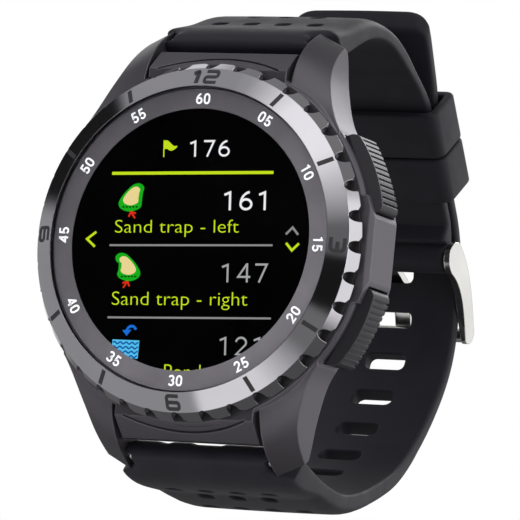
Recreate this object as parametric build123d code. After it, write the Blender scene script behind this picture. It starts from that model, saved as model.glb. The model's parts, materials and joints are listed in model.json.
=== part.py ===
from build123d import *
import os
from math import cos, radians, sin

# A golf GPS watch, buckled closed.  All sizes are in millimetres.
#
# It is drawn lying on its back: x points to 3 o'clock, y to 12 o'clock and z up out of the dial, with the
# origin on the dial axis at the flat outer face of the case back.  Every piece is then stood up by STAND,
# so that in the finished part 12 o'clock points to +Z and the dial faces -Y.

STAND = Rot(90, 0, 0)

# Driving dimensions
CASE_R = 24.6
CASE_FRONT_Z = 9.1
CAVITY_R = 20.0
DISPLAY_R = 17.65
DISPLAY_TOP_Z = 12.38
GLASS_R = 20.4
GLASS_BOTTOM_Z = 12.45
GLASS_TOP_Z = 13.15
LUG_GAP = 22.1
BAR_Y = 28.0
BAR_Z = 2.2
STRAP_HALF_HEAD = 10.85
STRAP_HALF_LUG = 13.0
STRAP_HALF_END = 10.0
STRAP_T = 2.2
STRAP_EXTRA_T = 0.65
TAIL_OUT = 1.25
NOTCHES = 36
NOTCH_WIDTH = 1.6
BUTTON_ANGLE = 24.5

# Bezel section: inner lip, outer edge of the polished face, and outer edge of the notched skirt
BEZEL_LIP_R, BEZEL_LIP_Z = 20.62, 13.2
BEZEL_FACE_R, BEZEL_FACE_Z = 23.22, 11.8
BEZEL_SKIRT_R, BEZEL_SKIRT_Z = 24.2, 9.95
BEZEL_BOTTOM_Z = 9.75
NECK_R = 22.35

# Back of the case
COVER_R = 22.4
COVER_T = 1.3
SCREW_PCR = 21.2

# Side buttons: distances out from the dial axis along the button's own axis
POCKET_FLOOR = 22.9
COUNTERBORE_DEPTH = 1.6
HEAD_INNER = 23.9
HEAD_OUTER = 26.2
HEAD_HALF_LENGTH = 5.7
HEAD_Z = (2.4, 7.3)
STEM_R = 0.75
STEM_END = 18.6
CLIP_X = 19.15
SEAL_X = 22.2
GROOVE_R = 0.5
RUNNING_GAP = 0.05

# Closed strap loop: two layers meet on a straight stretch that starts above the buckle
STACK_Y, STACK_Z = 12.0, -49.3
STACK_ANGLE = 53.13
STACK_END_S = 19.2
KEEPER_WIDTH = 6.85
KEEPER_WALL = 1.3
KEEPER_INSIDE = -2.4
KEEPER_OUTSIDE = 3.0
KEEPER_HALF = 10.75
SLIDING_KEEPER_S = 5.35
FIXED_KEEPER_S = 12.4

# Buckle
BUCKLE_BAR_Y, BUCKLE_BAR_Z = 6.9, -48.0
FRONT_BAR_Y, FRONT_BAR_Z = -2.9, -55.9
ARM_INNER_X = 10.6
ARM_OUTER_X = 11.5
SLOT_PITCH = 6.6
SLOTS = 8
SLOT_SIZE = (6.2, 2.4)
TANG_SLOT_MIDDLE = (4.95, -52.75)
TANG_SLOT_ALONG = (0.905, -0.426)

# Spring bars
TUBE_R = 0.89
TUBE_BORE_R = 0.6
TIP_R = 0.4
COLLAR_R = 0.55
BAR_HOLE_R = 0.45
STRAP_BORE_R = 0.95


# ---------------------------------------------------------------- helpers

def ring(r_outer, r_inner, z0, z1):
    """A flat annulus about the dial axis between two heights."""
    outer = Pos(0, 0, z0) * extrude(Circle(r_outer), z1 - z0)
    inner = Pos(0, 0, z0 - 1) * extrude(Circle(r_inner), z1 - z0 + 2)
    return outer - inner


def disc(r, z0, z1):
    """A flat round plate about the dial axis."""
    return Pos(0, 0, z0) * extrude(Circle(r), z1 - z0)


def block(x, y, z):
    """A box given by its three (low, high) ranges."""
    centre = Pos((x[0] + x[1]) / 2, (y[0] + y[1]) / 2, (z[0] + z[1]) / 2)
    return centre * Box(x[1] - x[0], y[1] - y[0], z[1] - z[0])


def revolved(points):
    """A solid of revolution about the dial axis from (radius, height) points."""
    return revolve(Plane.XZ * make_face(Polyline(*points, close=True)), Axis.Z)


def side_solid(face, half):
    """A face drawn in the (y, z) side view, given thickness from x = -half to +half."""
    return extrude(Plane.YZ * face, half, both=True)


def x_rod(r, x0, x1, y, z):
    """A round rod parallel to x."""
    return Pos(x0, y, z) * (Rot(0, 90, 0) * extrude(Circle(r), x1 - x0))


def coil(radius, wire, length, turns):
    """A round-wire spring along +z from z = 0."""
    path = Helix(pitch=(length - 2 * wire) / turns, height=length - 2 * wire, radius=radius)
    profile = Plane(origin=path @ 0, z_dir=path % 0) * Circle(wire)
    return Pos(0, 0, wire) * sweep(profile, path=path, is_frenet=True)


# ---------------------------------------------------------------- case

def lug_section(x, top, bottom):
    """One closed side-view outline of a lug at a given x."""
    upper = Spline(*top)
    tip = Line(top[-1], bottom[0])
    lower = Spline(*bottom)
    back = Line(bottom[-1], top[0])
    return Plane.YZ.offset(x) * make_face([upper, tip, lower, back])


def right_upper_lug():
    """The lug at the upper right: it drops towards its tip and its front slopes down outwards."""
    near = lug_section(
        LUG_GAP / 2,
        [(14, 9.1), (19.5, 9.1), (23.2, 8.5), (26.2, 6.9), (28.5, 4.3), (30.0, 1.5)],
        [(29.4, 0.5), (25.0, 0.3), (20.0, 0.8), (14, 0.9)],
    )
    far = lug_section(
        19.0,
        [(14, 9.1), (17.0, 8.8), (19.2, 8.0), (21.4, 6.4), (23.6, 4.2), (26.1, 1.0)],
        [(25.6, 0.5), (23.5, 0.9), (20.5, 2.1), (14, 2.4)],
    )
    bar = loft([near, far], ruled=True)
    flank = Spline((14.75, 28.4), (15.1, 26.4), (15.6, 23.7), (16.6, 20.6), (18.2, 17.0), (19.6, 14.86))
    corner = Line((14.75, 28.4), (14.0, 31.5))
    rest = Polyline((14.0, 31.5), (10.0, 31.5), (10.0, 12.0), (15.5, 12.0), (19.6, 14.86))
    plan = extrude(make_face([flank, corner, rest]), 20)
    return bar & plan


def end_piece():
    """The sloping end of the case between the two upper lugs."""
    nose = Polyline(
        (18, 9.1), (23.6, 9.1), (26.3, 6.2), (26.35, 4.4), (25.9, 2.2), (24.6, 1.0), (18, 0.7), close=True
    )
    half = LUG_GAP / 2 - 0.75
    groove = ring(25.35, 25.1, 6.0, 10.0) & block((-half + 1.2, half - 1.2), (20, 30), (0, 12))
    under_groove = Polyline((18, 8.75), (23.5, 8.75), (27, 5.0), (27, 0), (18, 0), close=True)
    floor = side_solid(make_face(under_groove), 20)
    return side_solid(make_face(nose), half) - (groove - floor)


def button_axis(sign):
    """Places something drawn along +x, at height 0, onto a button's axis."""
    return Rot(0, 0, sign * BUTTON_ANGLE) * Pos(0, 0, sum(HEAD_Z) / 2)


def button_pocket():
    """The recess in the case wall round a button's head, with its stem bore."""
    z_low = HEAD_Z[0] - sum(HEAD_Z) / 2 - 0.25
    z_high = HEAD_Z[1] - sum(HEAD_Z) / 2 + 0.75
    half = HEAD_HALF_LENGTH + 0.25
    recess = block((POCKET_FLOOR, 30), (-half, half), (z_low, z_high))
    bore = Rot(0, 90, 0) * extrude(Circle(STEM_R + RUNNING_GAP), 30)
    counterbore = Pos(POCKET_FLOOR - COUNTERBORE_DEPTH, 0, 0) * (Rot(0, 90, 0) * extrude(Circle(1.9), 5))
    return recess + bore + counterbore


def guard():
    """The flat-faced shoulder at 3 o'clock that shields the two buttons."""
    outline = Polyline(
        (20, -7.2), (24.0, -7.2), (25.2, -4.2), (25.2, 4.2), (24.0, 7.2), (20, 7.2), close=True
    )
    body = extrude(make_face(outline), 20)
    section = Plane.XZ * make_face(
        Polyline((20, 0.5), (23.6, 0.5), (25.2, 1.9), (25.2, 8.5), (24.5, 9.1), (20, 9.1), close=True)
    )
    return body & extrude(section, 10, both=True)


def case_middle():
    """Case: bowl, neck under the bezel, four lugs, two sloping ends, guard, pockets and bores."""
    bowl = revolved([
        (19.0, 1.35), (COVER_R + 0.1, 1.35), (COVER_R + 0.1, 0.35), (23.0, 0.35), (24.1, 1.9), (CASE_R, 3.4),
        (CASE_R, CASE_FRONT_Z - 0.4), (CASE_R - 0.4, CASE_FRONT_Z), (NECK_R, CASE_FRONT_Z),
        (NECK_R, 11.15), (20.55, 12.1), (19.0, 12.1),
    ])
    quarter = right_upper_lug()
    top = quarter + mirror(quarter, Plane.YZ) + end_piece()
    body = bowl + top + mirror(top, Plane.XZ) + guard()
    body -= disc(CAVITY_R, -1, 9.25)
    body -= disc(20.5, 9.2, 20)
    body -= disc(COVER_R + 0.1, -1, 1.35)
    for sign in (1, -1):
        body -= button_axis(sign) * button_pocket()
        body -= x_rod(BAR_HOLE_R, -12.35, 12.35, sign * BAR_Y, BAR_Z)
    for angle in (45, 135, 225, 315):
        body -= Rot(0, 0, angle) * (Pos(SCREW_PCR, 0, 1.0) * extrude(Circle(0.65), 4.2))
    return body


# ---------------------------------------------------------------- dial side

def bezel_ring():
    """Polished ring with a sloping face and a skirt cut by finger notches."""
    body = revolved([
        (BEZEL_LIP_R, BEZEL_LIP_Z), (BEZEL_FACE_R, BEZEL_FACE_Z), (BEZEL_SKIRT_R, BEZEL_SKIRT_Z),
        (BEZEL_SKIRT_R, BEZEL_BOTTOM_Z), (NECK_R + 0.1, BEZEL_BOTTOM_Z), (NECK_R + 0.1, 11.22),
        (BEZEL_LIP_R, 12.2),
    ])
    half = NOTCH_WIDTH / 2
    ramp = 0.75
    centre_r = 23.95
    outline = Polyline(
        (centre_r, -half), (26, -half), (26, half + 2 * ramp), (BEZEL_SKIRT_R, half + ramp),
        (centre_r, half), close=True,
    )
    notch = extrude(make_face(outline) + Pos(centre_r, 0) * Circle(half), 20)
    cutters = [Rot(0, 0, i * 360 / NOTCHES) * notch for i in range(NOTCHES)]
    return body - cutters


def bezel_gasket():
    """Soft ribbed ring filling the gap under the bezel's skirt."""
    body = ring(23.75, NECK_R + 0.05, CASE_FRONT_Z + 0.02, BEZEL_BOTTOM_Z - 0.05)
    ribs = 72
    groove = Pos(23.85, 0, 5) * extrude(Circle(0.3), 8)
    return body - [Rot(0, 0, (i + 0.5) * 360 / ribs) * groove for i in range(ribs)]


def cover_glass():
    """Flat glass with a small chamfer round its front edge."""
    plate = disc(GLASS_R, GLASS_BOTTOM_Z, GLASS_TOP_Z)
    return chamfer(plate.edges().group_by(Axis.Z)[-1], 0.15)


def minute_ring():
    """Printed ring round the display, under the glass."""
    return ring(20.35, DISPLAY_R + 0.02, 12.0, 12.4)


def display_panel():
    """Round display module with a raised picture area."""
    return disc(18.5, 9.95, 11.9) + disc(DISPLAY_R, 11.8, DISPLAY_TOP_Z)


def display_bracket():
    """Frame that carries the display and the minute ring."""
    wall = ring(20.45, 18.6, 9.25, 11.95)
    shelf = ring(18.7, 16.8, 9.25, 9.9)
    return wall + shelf - block((-5, 5), (-20, -16), (9, 9.95))


# ---------------------------------------------------------------- electronics

BOARD_Z = (6.0, 6.8)


def main_board():
    """Round circuit board with a flat cut for the display flex."""
    return disc(18.2, *BOARD_Z) - block((-5, 5), (-20, -16.6), (5, 8))


def display_flex():
    """Thin ribbon folded from the display's underside to the board."""
    path = Polyline((-12, 9.9), (-17.3, 9.9), (-17.3, 6.95), (-13, 6.95))
    ribbon = offset(path, 0.05, side=Side.BOTH, kind=Kind.INTERSECTION)
    return side_solid(make_face(ribbon), 4)


def radio_shield():
    """Drawn metal can over the radio parts."""
    can = block((-11, 3), (-9, 4), (6.85, 8.7))
    return fillet(can.edges().filter_by(Axis.Z), 0.6)


def gps_antenna():
    """Ceramic patch antenna for satellite reception."""
    patch = block((-6, 6), (5.2, 15.2), (6.85, 8.9))
    return chamfer(patch.edges().filter_by(Axis.Z), 1.0)


def battery():
    """Flat pouch cell."""
    cell = block((-14.8, 8.8), (-11.8, 11.8), (2.0, 5.6))
    cell = fillet(cell.edges().filter_by(Axis.Z), 3.0)
    return fillet(cell.edges().group_by(Axis.Z)[-1], 0.6)


MOTOR_X = 13.9
MOTOR_R = 4.0
MOTOR_Z = (2.0, 4.7)


def vibration_motor_case():
    """Flat round motor shell with a fixed centre post."""
    shell = disc(MOTOR_R, *MOTOR_Z) - disc(MOTOR_R - 0.3, MOTOR_Z[0] + 0.3, MOTOR_Z[1] - 0.3)
    return Pos(MOTOR_X, 0, 0) * (shell + disc(0.4, *MOTOR_Z))


def vibration_rotor():
    """Half-round weight that spins on the motor's post."""
    z0, z1 = MOTOR_Z[0] + 0.4, MOTOR_Z[1] - 0.4
    hub = disc(1.0, z0, z1)
    weight = disc(MOTOR_R - 0.45, z0, z1) & block((-5, 5), (0, 5), (0, 9))
    return Pos(MOTOR_X, 0, 0) * (hub + weight - disc(0.4 + RUNNING_GAP, 0, 9))


def inner_frame():
    """Moulded tray that holds the battery, the motor and the two switches."""
    tray = disc(19.6, 1.95, 5.9)
    tray -= block((-15, 9), (-12, 12), (1, 7))
    tray -= Pos(MOTOR_X, 0, 0) * disc(MOTOR_R + 0.1, 1, 7)
    for sign in (1, -1):
        tray -= button_axis(sign) * block((15.0, 21), (-2.2, 2.2), (-1.6, 2))
    return tray


# ---------------------------------------------------------------- back

def screw_places():
    """The four back screw positions."""
    return [Rot(0, 0, angle) * Pos(SCREW_PCR, 0, 0) for angle in (45, 135, 225, 315)]


def contact_places():
    """The four charging contact positions, in a row."""
    return [Pos(x, -11.5, 0) for x in (-3.81, -1.27, 1.27, 3.81)]


def back_cover():
    """Flat round cover with a seal groove, screw holes and a window for the contacts."""
    plate = disc(COVER_R, 0, COVER_T)
    plate = chamfer(plate.edges().group_by(Axis.Z)[0], 0.25)
    plate -= ring(20.55, CAVITY_R, COVER_T - 0.4, COVER_T + 1)
    for place in screw_places():
        plate -= place * disc(0.75, -1, 2)
        plate -= place * disc(1.15, -1, 0.65)
    return plate - block((-5.6, 5.6), (-13.1, -9.9), (-1, 2))


def back_seal():
    """Flat rubber seal in the cover's groove, squeezed by the case ledge."""
    return ring(20.5, CAVITY_R + 0.05, COVER_T - 0.38, 1.34)


def back_screws():
    """Four small countersunk-slot screws as separate solids."""
    head = disc(1.05, 0.05, 0.62) - block((-2, 2), (-0.15, 0.15), (-1, 0.3))
    screw = head + disc(0.6, 0.5, 4.6)
    return [place * screw for place in screw_places()]


def contact_insulator():
    """Plastic block that carries the charging contacts."""
    body = block((-5.5, 5.5), (-13.0, -10.0), (0.0, 1.7))
    body = fillet(body.edges().filter_by(Axis.Z), 0.5)
    for place in contact_places():
        body -= place * disc(0.8, -1, 3)
    return body


def charging_contacts():
    """Four round gold-faced contacts as separate solids."""
    return [place * disc(0.78, 0.02, 1.75) for place in contact_places()]


# ---------------------------------------------------------------- buttons

def button_body():
    """Ribbed head on a round stem, drawn along +x at height 0."""
    z0, z1 = HEAD_Z[0] - sum(HEAD_Z) / 2, HEAD_Z[1] - sum(HEAD_Z) / 2
    plan = Plane.XY * make_face([
        ThreePointArc((25.5, -HEAD_HALF_LENGTH), (HEAD_OUTER, 0), (25.5, HEAD_HALF_LENGTH)),
        Line((25.5, HEAD_HALF_LENGTH), (HEAD_INNER, HEAD_HALF_LENGTH)),
        Line((HEAD_INNER, HEAD_HALF_LENGTH), (HEAD_INNER, -HEAD_HALF_LENGTH)),
        Line((HEAD_INNER, -HEAD_HALF_LENGTH), (25.5, -HEAD_HALF_LENGTH)),
    ])
    head = Pos(0, 0, z0) * extrude(plan, z1 + 0.55 - z0)
    section = Plane.XZ * make_face(Polyline(
        (23, z0), (25.8, z0), (26.6, z0 + 0.8), (26.6, z1 - 0.5), (26.1, z1 - 0.1), (24.4, z1 + 0.55),
        (23, z1 + 0.55), close=True,
    ))
    head = head & extrude(section, 10, both=True)
    head = fillet(head.edges().filter_by(Axis.Z).sort_by(Axis.X)[-2:], 1.1)
    ribs = 13
    pitch = 2 * (HEAD_HALF_LENGTH - 0.7) / (ribs - 1)
    groove = block((25.95, 27), (-0.16, 0.16), (z0 - 1, z1 - 0.35))
    arc_r = 20.0
    for i in range(ribs - 1):
        t = (i + 0.5 - (ribs - 1) / 2) * pitch
        head -= Pos(-(t * t) / (2 * arc_r) * 0.95, t, 0) * groove
    stem = Pos(STEM_END, 0, 0) * (Rot(0, 90, 0) * extrude(Circle(STEM_R), HEAD_INNER - STEM_END + 0.2))
    for x in (CLIP_X, SEAL_X):
        stem -= Pos(x - 0.05, 0, 0) * (Rot(0, 90, 0) * extrude(Circle(2) - Circle(GROOVE_R), 0.4))
    return head + stem


def stem_washer(x, width, r_outer, r_inner):
    """A ring round a button's stem."""
    return Pos(x, 0, 0) * (Rot(0, 90, 0) * extrude(Circle(r_outer) - Circle(r_inner), width))


def button_clip():
    """Retaining clip in the stem's inner groove, behind the case wall, open at one side."""
    return stem_washer(CLIP_X, 0.3, 1.25, GROOVE_R) - block((18, 21), (-0.35, 0.35), (-2, 0))


def button_spring():
    """Return spring between the counterbore floor and the head."""
    length = HEAD_INNER - POCKET_FLOOR + COUNTERBORE_DEPTH - 0.06
    start = Pos(POCKET_FLOOR - COUNTERBORE_DEPTH + 0.02, 0, 0)
    return start * (Rot(0, 90, 0) * coil(1.4, 0.16, length, 3.5))


def button_switch():
    """Side-push switch under the edge of the board, just short of the stem's end."""
    body = block((15.2, 17.3), (-2.0, 2.0), (-1.2, 1.1))
    plunger = Pos(17.2, 0, 0) * (Rot(0, 90, 0) * extrude(Circle(0.6), 0.55))
    return body + plunger


# ---------------------------------------------------------------- spring bars

def bar_tube(half):
    """Thin tube closed at both ends but for the tips' holes, centred on x."""
    outer = x_rod(TUBE_R, -half, half, 0, 0)
    bore = x_rod(TUBE_BORE_R, -half + 0.5, half - 0.5, 0, 0)
    holes = x_rod(BAR_HOLE_R, -half - 1, half + 1, 0, 0)
    return outer - bore - holes


def bar_tip(half, reach):
    """Right-hand tip: a collar held in the tube and a pin that stands out of its end."""
    collar = x_rod(COLLAR_R, half - 2.0, half - 0.55, 0, 0)
    pin = x_rod(TIP_R, half - 0.6, reach, 0, 0)
    pin = chamfer(pin.edges().group_by(Axis.X)[-1], 0.12)
    return collar + pin


def bar_spring(half):
    """Spring between the two collars."""
    length = 2 * (half - 2.02)
    return Pos(-length / 2, 0, 0) * (Rot(0, 90, 0) * coil(0.45, 0.1, length, 10))


def spring_bar(name, half, reach, y, z):
    """The four pieces of one spring bar, by node name."""
    place = Pos(0, y, z)
    tip = bar_tip(half, reach)
    return {
        f"{name}_tube": place * bar_tube(half),
        f"{name}_right_tip": place * tip,
        f"{name}_left_tip": place * mirror(tip, Plane.YZ),
        f"{name}_spring": place * bar_spring(half),
    }


# ---------------------------------------------------------------- strap

def stack_point(s, out):
    """Side-view point at distance s along the straight stretch and out from the line where the layers meet."""
    a = radians(STACK_ANGLE)
    return (STACK_Y + s * sin(a) + out * cos(a), STACK_Z + s * cos(a) - out * sin(a))


def strap_plan(half_head):
    """The strap's width against depth: narrow between the lugs, a shoulder, then a taper."""
    side = [
        (half_head, 12), (half_head, 0.15), (11.9, -0.05), (STRAP_HALF_LUG, -0.05), (12.7, -8), (12.2, -15),
        (10.8, -30), (STRAP_HALF_END, -44), (STRAP_HALF_END, -70),
    ]
    outline = side + [(-x, z) for x, z in reversed(side)]
    return extrude(Plane.XZ * make_face(Polyline(*outline, close=True)), 60, both=True)


def upper_strap():
    """Buckle-side strap: lug loop, curve over the wrist, and the straight stretch down to the buckle bar."""
    foot, top = 2.0, STACK_END_S
    outer = Spline(
        (28.6, 3.7), (30.2, 1.9), (31.0, -0.4), (32.3, -4.7), (34.1, -9.4), (35.0, -15.5), (34.4, -22.6),
        (32.2, -29.0), (30.2, -33.2), (28.7, -36.2), stack_point(top, -0.02),
    )
    end = Spline(stack_point(foot, -0.02), (10.3, -49.6), (8.4, -49.6))
    inner = Spline(
        stack_point(top, -STRAP_T), (27.0, -34.5), (28.5, -31.8), (30.5, -26.6), (32.4, -19.6), (32.1, -13.2),
        (30.4, -8.2), (28.6, -4.6), (27.0, -0.4), (26.5, 2.0), (27.2, 3.5),
    )
    edges = [
        outer,
        Line(stack_point(top, -0.02), stack_point(foot, -0.02)),
        end,
        Polyline((8.4, -49.6), (9.0, -46.0), stack_point(1.0, -STRAP_T), stack_point(top, -STRAP_T)),
        inner,
        ThreePointArc((27.2, 3.5), (27.95, 3.9), (28.6, 3.7)),
    ]
    body = side_solid(make_face(edges), 14)
    body += x_rod(2.05, -14, 14, BUCKLE_BAR_Y, BUCKLE_BAR_Z)
    body &= strap_plan(STRAP_HALF_HEAD)
    body -= x_rod(STRAP_BORE_R, -14, 14, BAR_Y, BAR_Z)
    body -= x_rod(STRAP_BORE_R, -14, 14, BUCKLE_BAR_Y, BUCKLE_BAR_Z)
    tang_window = block((-1.55, 1.55), (2, 9.6), (-53, -44.5))
    return body - tang_window


def stack_direction():
    """Unit direction of the straight stretch in the side view."""
    a = radians(STACK_ANGLE)
    return Vector(sin(a), cos(a))


def lower_path():
    """Middle line of the lower strap in the side view, from its lug to its tip."""
    start, end = stack_point(2, TAIL_OUT), stack_point(17, TAIL_OUT)
    wrap = Spline(
        (-29.2, 0.6), (-29.7, -5.8), (-30.75, -11.9), (-31.15, -17.2), (-30.3, -23.8), (-28.4, -30.4),
        (-24.9, -38.4), (-19.8, -44.6), (-14.2, -49.2), (-8.4, -52.4), (-2.4, -53.5), TANG_SLOT_MIDDLE, start,
        tangents=((0, -1), stack_direction()),
    )
    tip = Spline(
        end, stack_point(21, 1.9), stack_point(26, 2.3), stack_point(32.2, 2.6),
        tangents=(stack_direction(), stack_direction()),
    )
    return Wire([wrap, Line(start, end), tip])


def extra_thickness(share):
    """How much thicker the strap is on its outer side, at a share of its length from the lug."""
    full_until, gone_from = 0.32, 0.6
    fade = (gone_from - share) / (gone_from - full_until)
    return STRAP_EXTRA_T * min(1, max(0, fade))


def band(path):
    """The lower strap's side outline: a strip along its middle line, thicker near the lug."""
    count = 48
    inner, outer = [], []
    for i in range(count + 1):
        share = i / count
        at, along = path @ share, path % share
        low = STRAP_T / 2 + extra_thickness(share)
        inner.append((at.X - STRAP_T / 2 * along.Y, at.Y + STRAP_T / 2 * along.X))
        outer.append((at.X + low * along.Y, at.Y - low * along.X))
    tip, root = Line(inner[-1], outer[-1]), Line(outer[0], inner[0])
    return make_face([Spline(*inner), tip, Spline(*reversed(outer)), root])


def lower_strap():
    """Slotted strap: lug loop, curve under the wrist, through the buckle and up to its square tip."""
    path = lower_path()
    body = side_solid(band(path), 14)
    head = make_face([
        Spline((-26.5, 2.0), (-26.9, -0.6), (-28.1, -5.2), (-29.7, -11.6)),
        Line((-29.7, -11.6), (-32.2, -11.6)),
        Spline((-32.2, -11.6), (-31.9, -5.0), (-31.2, 0.0), (-30.2, 1.9), (-28.6, 3.7)),
        ThreePointArc((-28.6, 3.7), (-27.35, 3.6), (-26.5, 2.0)),
    ])
    body += side_solid(head, 14)
    body &= strap_plan(STRAP_HALF_HEAD)
    body -= x_rod(STRAP_BORE_R, -14, 14, -BAR_Y, BAR_Z)
    start = path.param_at_point(Vector(*TANG_SLOT_MIDDLE))
    for i in range(1, SLOTS):
        t = start - i * SLOT_PITCH / path.length
        body -= slot_cutter(path @ t, path % t)
    return body - slot_cutter(Vector(*TANG_SLOT_MIDDLE), Vector(*TANG_SLOT_ALONG))


def slot_cutter(at, along):
    """Rounded adjustment slot square to a side-view direction."""
    plane = Plane(origin=(0, at.X, at.Y), x_dir=(1, 0, 0), z_dir=(0, -along.Y, along.X))
    return extrude(plane * RectangleRounded(*SLOT_SIZE, 0.8), 4, both=True)


def keeper(s0):
    """Rectangular loop round both strap layers, starting at s0 along the straight stretch."""
    def loop(half, low, high, a, b):
        corners = [stack_point(a, low), stack_point(a, high), stack_point(b, high), stack_point(b, low)]
        return side_solid(make_face(Polyline(*corners, close=True)), half)
    s1 = s0 + KEEPER_WIDTH
    shell = loop(KEEPER_HALF + KEEPER_WALL, KEEPER_INSIDE - KEEPER_WALL, KEEPER_OUTSIDE + KEEPER_WALL, s0, s1)
    return shell - loop(KEEPER_HALF, KEEPER_INSIDE, KEEPER_OUTSIDE, s0 - 1, s1 + 1)


# ---------------------------------------------------------------- buckle

def buckle_frame():
    """Two broad side arms, drawn in towards a rounded front bar that joins them."""
    edge = make_face([
        Spline((9.3, -48.4), (6.5, -51.7), (2.0, -54.6), (-1.6, -56.6)),
        ThreePointArc((-1.6, -56.6), (-3.8, -56.6), (-3.9, -54.9)),
        Spline((-3.9, -54.9), (0.2, -52.3), (3.3, -49.5), (4.6, -46.9)),
        ThreePointArc((4.6, -46.9), (7.0, -45.4), (9.3, -48.4)),
    ])
    slab = side_solid(edge, 14)
    outer = Spline((ARM_OUTER_X, 12), (ARM_OUTER_X, 4.5), (11.3, 0.0), (11.0, -2.9), (10.7, -5.0))
    inner = Polyline((10.1, -5.0), (10.15, 0.0), (ARM_INNER_X, 4.5), (ARM_INNER_X, 12))
    plan = make_face([outer, Line(outer @ 1, inner @ 0), inner, Line(inner @ 1, outer @ 0)])
    arm = slab & (Pos(0, 0, -70) * extrude(plan, 40))
    front = x_rod(1.0, -10.6, 10.6, FRONT_BAR_Y, FRONT_BAR_Z)
    bar_holes = x_rod(BAR_HOLE_R, -11.3, 11.3, BUCKLE_BAR_Y, BUCKLE_BAR_Z)
    return arm + mirror(arm, Plane.YZ) + front - bar_holes


def buckle_tang():
    """Flat prong looped round the buckle bar, through a strap slot and down onto the front bar."""
    path = Polyline((6.4, -49.1), (4.0, -54.2), (3.1, -55.4), (-3.3, -57.75))
    body = side_solid(make_face(offset(path, 0.55, side=Side.BOTH, kind=Kind.ARC)), 1.2)
    body += x_rod(1.6, -1.2, 1.2, BUCKLE_BAR_Y, BUCKLE_BAR_Z)
    return body - x_rod(TUBE_R + RUNNING_GAP, -2, 2, BUCKLE_BAR_Y, BUCKLE_BAR_Z)


# ---------------------------------------------------------------- assembly

def build_nodes():
    """Every node's shape in the drawing frame, by name."""
    nodes = {f.__name__: f() for f in (
        case_middle, bezel_ring, bezel_gasket, cover_glass, minute_ring, display_panel, display_bracket,
        display_flex, main_board, radio_shield, gps_antenna, battery, vibration_motor_case, vibration_rotor,
        inner_frame, back_cover, back_seal, back_screws, contact_insulator, charging_contacts,
        upper_strap, lower_strap, buckle_frame, buckle_tang,
    )}
    for name, sign in (("upper", 1), ("lower", -1)):
        axis = button_axis(sign)
        nodes[f"{name}_button"] = axis * button_body()
        nodes[f"{name}_button_clip"] = axis * button_clip()
        nodes[f"{name}_button_seal"] = axis * stem_washer(SEAL_X, 0.3, 1.15, GROOVE_R)
        nodes[f"{name}_button_spring"] = axis * button_spring()
        nodes[f"{name}_button_switch"] = axis * button_switch()
        nodes.update(spring_bar(f"{name}_bar", 10.7, 12.05, sign * BAR_Y, BAR_Z))
    nodes.update(spring_bar("buckle_bar", 9.9, 11.2, BUCKLE_BAR_Y, BUCKLE_BAR_Z))
    nodes["fixed_keeper"] = keeper(FIXED_KEEPER_S)
    nodes["sliding_keeper"] = keeper(SLIDING_KEEPER_S)
    return nodes


def main():
    os.makedirs("parts", exist_ok=True)
    for name, shape in build_nodes().items():
        solids = shape if isinstance(shape, list) else [shape]
        placed = [STAND * s for s in solids]
        export_step(placed[0] if len(placed) == 1 else Compound(children=placed), f"parts/{name}.step")


main()
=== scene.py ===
import json
from math import cos, pi, radians, sin, sqrt, tau

import bmesh
import bpy
import numpy as np
from mathutils import Matrix, Vector
from mathutils.bvhtree import BVHTree

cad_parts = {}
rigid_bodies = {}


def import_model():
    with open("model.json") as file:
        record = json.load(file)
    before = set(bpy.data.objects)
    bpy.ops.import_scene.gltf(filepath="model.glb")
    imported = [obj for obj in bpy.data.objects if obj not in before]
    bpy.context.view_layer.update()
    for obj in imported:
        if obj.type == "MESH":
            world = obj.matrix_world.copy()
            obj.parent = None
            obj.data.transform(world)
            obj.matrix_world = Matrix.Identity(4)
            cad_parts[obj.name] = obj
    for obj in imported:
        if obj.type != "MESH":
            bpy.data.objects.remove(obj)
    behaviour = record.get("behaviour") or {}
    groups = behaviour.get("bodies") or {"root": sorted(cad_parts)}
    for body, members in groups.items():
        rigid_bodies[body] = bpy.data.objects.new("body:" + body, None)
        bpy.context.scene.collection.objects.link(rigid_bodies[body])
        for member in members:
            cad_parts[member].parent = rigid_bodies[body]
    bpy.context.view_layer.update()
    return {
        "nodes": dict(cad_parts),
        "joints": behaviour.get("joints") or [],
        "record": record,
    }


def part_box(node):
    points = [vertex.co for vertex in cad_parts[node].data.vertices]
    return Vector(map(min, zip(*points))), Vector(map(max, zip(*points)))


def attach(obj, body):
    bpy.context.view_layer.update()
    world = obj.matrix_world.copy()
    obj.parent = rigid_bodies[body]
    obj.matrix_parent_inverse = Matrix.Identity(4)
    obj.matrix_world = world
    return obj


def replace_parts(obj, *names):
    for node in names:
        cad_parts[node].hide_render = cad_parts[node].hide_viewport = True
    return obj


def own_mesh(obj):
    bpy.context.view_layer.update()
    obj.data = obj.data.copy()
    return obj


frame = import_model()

# A golf watch buckled closed.  The dial faces -Y, 12 o'clock is +Z and 3 o'clock is +X.

NODES = frame["nodes"]
SLOT_OF = {part["node"]: part["material_slot"] for part in frame["record"]["subparts"]}
JOINTS = {joint["name"]: joint for joint in frame["joints"]}
MM = 0.001
RIGHT = Vector((1, 0, 0))
CREASE = radians(35)     # edges sharper than this stay sharp

# Camera: a long lens, a little to the right of the dial and below it
VIEW_AZIMUTH = 26.71
VIEW_ELEVATION = -6.97
VIEW_ROLL = 5.60
VIEW_DISTANCE = 0.750
VIEW_TARGET = Vector((0.01098, -0.0128, -0.0025))
LENS = 393.3
FLOOR_DROP = 0.01       # below the camera
FLOOR_REACH = 15

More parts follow.
